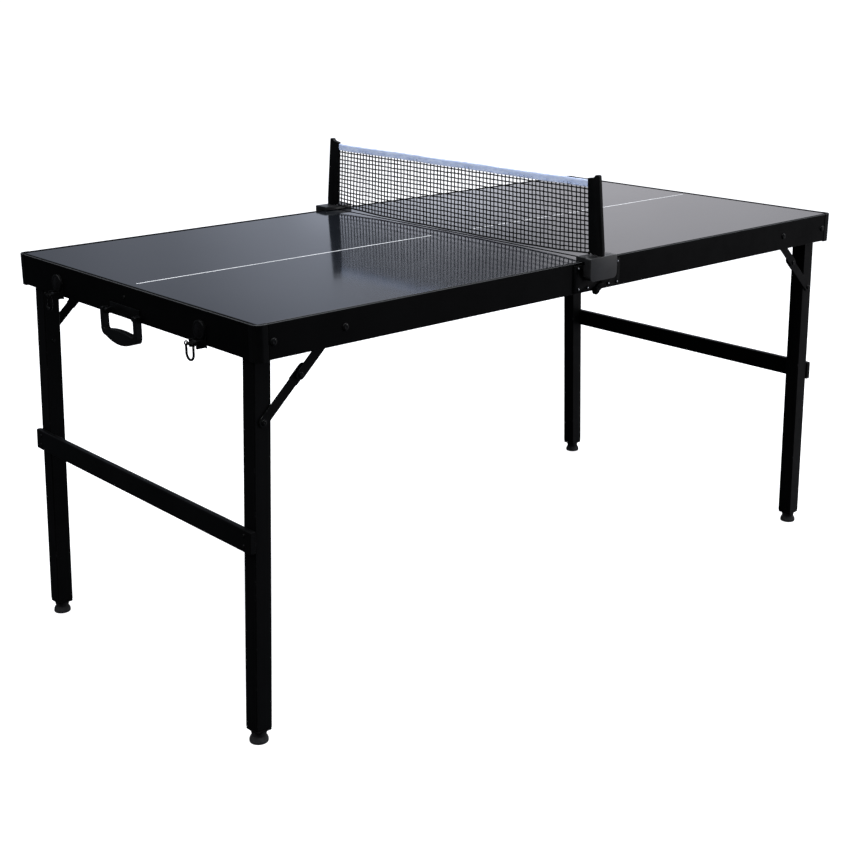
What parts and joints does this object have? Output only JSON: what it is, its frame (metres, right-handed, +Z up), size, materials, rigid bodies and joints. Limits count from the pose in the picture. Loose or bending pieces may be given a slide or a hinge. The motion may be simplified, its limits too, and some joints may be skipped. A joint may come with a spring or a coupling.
{
  "type": "folding table tennis table",
  "caption": "Mid-size table tennis table whose deck folds like a suitcase, with folding braced leg frames, a lift-off net, draw latches and a carrying handle.",
  "frame": {"origin": "on the floor, under the centre of the playing surface", "axes": "+X along the length towards the right end (away from the handle), +Y along the net towards the back, +Z up"},
  "size_m": [1.5218, 0.802, 0.863],
  "materials": {
    "deck": "semi-gloss dark slate laminate over board, white centre line",
    "frame": "satin black powder coat",
    "legs": "satin black powder coat",
    "links": "satin black plated strip",
    "hinge": "satin black plate with bright rivets",
    "hardware": "dark zinc plated",
    "latch": "black plated",
    "cap": "moulded black plastic",
    "bracket": "moulded dark grey plastic",
    "post": "moulded black plastic",
    "handle": "moulded black plastic",
    "rubber": "black rubber over a threaded stem",
    "net_cord": "black knotted cord net",
    "tape": "pale blue-white woven tape"
  },
  "bodies": {
    "left_half": {"left_deck_panel": "deck", "left_end_rail": "frame", "left_centre_rail": "frame", "left_front_rail": "frame", "left_front_corner_cap": "cap", "left_front_leg_bolt": "hardware", "left_front_hinge_plate": "hinge", "left_back_rail": "frame", "left_back_corner_cap": "cap", "left_back_leg_bolt": "hardware", "left_back_hinge_plate": "hinge", "front_net_bracket": "bracket", "front_latch_base": "latch", "back_net_bracket": "bracket", "back_latch_base": "latch", "handle_bracket": "handle"},
    "right_half": {"right_deck_panel": "deck", "right_end_rail": "frame", "right_centre_rail": "frame", "right_front_rail": "frame", "right_front_corner_cap": "cap", "right_front_leg_bolt": "hardware", "right_front_hinge_plate": "hinge", "right_back_rail": "frame", "right_back_corner_cap": "cap", "right_back_leg_bolt": "hardware", "right_back_hinge_plate": "hinge", "front_latch_keeper": "latch", "back_latch_keeper": "latch"},
    "left_leg_frame": {"left_cross_bar": "legs", "left_front_leg": "legs", "left_front_leg_plug": "cap", "left_back_leg": "legs", "left_back_leg_plug": "cap"},
    "left_front_upper_link": {"left_front_upper_link": "links"},
    "left_front_lower_link": {"left_front_lower_link": "links"},
    "left_front_foot": {"left_front_foot": "rubber"},
    "left_back_upper_link": {"left_back_upper_link": "links"},
    "left_back_lower_link": {"left_back_lower_link": "links"},
    "left_back_foot": {"left_back_foot": "rubber"},
    "right_leg_frame": {"right_cross_bar": "legs", "right_front_leg": "legs", "right_front_leg_plug": "cap", "right_back_leg": "legs", "right_back_leg_plug": "cap"},
    "right_front_upper_link": {"right_front_upper_link": "links"},
    "right_front_lower_link": {"right_front_lower_link": "links"},
    "right_front_foot": {"right_front_foot": "rubber"},
    "right_back_upper_link": {"right_back_upper_link": "links"},
    "right_back_lower_link": {"right_back_lower_link": "links"},
    "right_back_foot": {"right_back_foot": "rubber"},
    "handle": {"handle": "handle"},
    "front_latch_lever": {"front_latch_lever": "hardware"},
    "front_latch_bail": {"front_latch_bail": "latch"},
    "back_latch_lever": {"back_latch_lever": "hardware"},
    "back_latch_bail": {"back_latch_bail": "latch"},
    "net_set": {"front_net_post": "post", "back_net_post": "post", "net_mesh": "net_cord", "net_tape": "tape"}
  },
  "joints": [
    {"name": "centre_fold", "type": "hinge", "parent": "left_half", "child": "right_half", "pos_m": [0, 0, 0.6555], "axis": [0, 1, 0], "range_deg": [0, 90]},
    {"name": "left_leg_fold", "type": "hinge", "parent": "left_half", "child": "left_leg_frame", "pos_m": [-0.712, 0, 0.683], "axis": [0, -1, 0], "range_deg": [0, 92.2]},
    {"name": "left_front_upper_link_turn", "type": "hinge", "parent": "left_half", "child": "left_front_upper_link", "pos_m": [-0.575, -0.3583, 0.683], "axis": [0, -1, 0], "range_deg": [-43, 0]},
    {"name": "left_front_lower_link_turn", "type": "hinge", "parent": "left_leg_frame", "child": "left_front_lower_link", "pos_m": [-0.71707, -0.353, 0.5511], "axis": [0, -1, 0], "range_deg": [0, 45]},
    {"name": "left_front_foot_adjust", "type": "slide", "parent": "left_leg_frame", "child": "left_front_foot", "axis": [-0.0384, 0, -0.9993], "range_m": [0, 0.01]},
    {"name": "left_back_upper_link_turn", "type": "hinge", "parent": "left_half", "child": "left_back_upper_link", "pos_m": [-0.575, 0.3583, 0.683], "axis": [0, -1, 0], "range_deg": [-43, 0]},
    {"name": "left_back_lower_link_turn", "type": "hinge", "parent": "left_leg_frame", "child": "left_back_lower_link", "pos_m": [-0.71707, 0.353, 0.5511], "axis": [0, -1, 0], "range_deg": [0, 45]},
    {"name": "left_back_foot_adjust", "type": "slide", "parent": "left_leg_frame", "child": "left_back_foot", "axis": [-0.0384, 0, -0.9993], "range_m": [0, 0.01]},
    {"name": "right_leg_fold", "type": "hinge", "parent": "right_half", "child": "right_leg_frame", "pos_m": [0.712, 0, 0.683], "axis": [0, 1, 0], "range_deg": [0, 92.2]},
    {"name": "right_front_upper_link_turn", "type": "hinge", "parent": "right_half", "child": "right_front_upper_link", "pos_m": [0.575, -0.3583, 0.683], "axis": [0, 1, 0], "range_deg": [-43, 0]},
    {"name": "right_front_lower_link_turn", "type": "hinge", "parent": "right_leg_frame", "child": "right_front_lower_link", "pos_m": [0.71707, -0.353, 0.5511], "axis": [0, 1, 0], "range_deg": [0, 45]},
    {"name": "right_front_foot_adjust", "type": "slide", "parent": "right_leg_frame", "child": "right_front_foot", "axis": [0.0384, 0, -0.9993], "range_m": [0, 0.01]},
    {"name": "right_back_upper_link_turn", "type": "hinge", "parent": "right_half", "child": "right_back_upper_link", "pos_m": [0.575, 0.3583, 0.683], "axis": [0, 1, 0], "range_deg": [-43, 0]},
    {"name": "right_back_lower_link_turn", "type": "hinge", "parent": "right_leg_frame", "child": "right_back_lower_link", "pos_m": [0.71707, 0.353, 0.5511], "axis": [0, 1, 0], "range_deg": [0, 45]},
    {"name": "right_back_foot_adjust", "type": "slide", "parent": "right_leg_frame", "child": "right_back_foot", "axis": [0.0384, 0, -0.9993], "range_m": [0, 0.01]},
    {"name": "handle_swing", "type": "hinge", "parent": "left_half", "child": "handle", "pos_m": [-0.7524, 0, 0.663], "axis": [0, 1, 0], "range_deg": [0, 95]},
    {"name": "front_latch_lever_turn", "type": "hinge", "parent": "left_half", "child": "front_latch_lever", "pos_m": [-0.7544, -0.23, 0.66], "axis": [0, 1, 0], "range_deg": [0, 85]},
    {"name": "front_latch_bail_swing", "type": "hinge", "parent": "front_latch_lever", "child": "front_latch_bail", "pos_m": [-0.7644, -0.23, 0.66], "axis": [0, 1, 0], "range_deg": [-10, 90]},
    {"name": "back_latch_lever_turn", "type": "hinge", "parent": "left_half", "child": "back_latch_lever", "pos_m": [-0.7544, 0.23, 0.66], "axis": [0, 1, 0], "range_deg": [0, 85]},
    {"name": "back_latch_bail_swing", "type": "hinge", "parent": "back_latch_lever", "child": "back_latch_bail", "pos_m": [-0.7644, 0.23, 0.66], "axis": [0, 1, 0], "range_deg": [-10, 90]},
    {"name": "net_lift", "type": "slide", "parent": "left_half", "child": "net_set", "axis": [0, 0, 1], "range_m": [0, 0.03]}
  ],
  "couplings": [
    {"joint": "left_front_upper_link_turn", "follows": "left_leg_fold", "ratio": -0.46502},
    {"joint": "left_front_lower_link_turn", "follows": "left_leg_fold", "ratio": 0.48725},
    {"joint": "left_back_upper_link_turn", "follows": "left_leg_fold", "ratio": -0.46502},
    {"joint": "left_back_lower_link_turn", "follows": "left_leg_fold", "ratio": 0.48725},
    {"joint": "right_front_upper_link_turn", "follows": "right_leg_fold", "ratio": -0.46502},
    {"joint": "right_front_lower_link_turn", "follows": "right_leg_fold", "ratio": 0.48725},
    {"joint": "right_back_upper_link_turn", "follows": "right_leg_fold", "ratio": -0.46502},
    {"joint": "right_back_lower_link_turn", "follows": "right_leg_fold", "ratio": 0.48725}
  ]
}
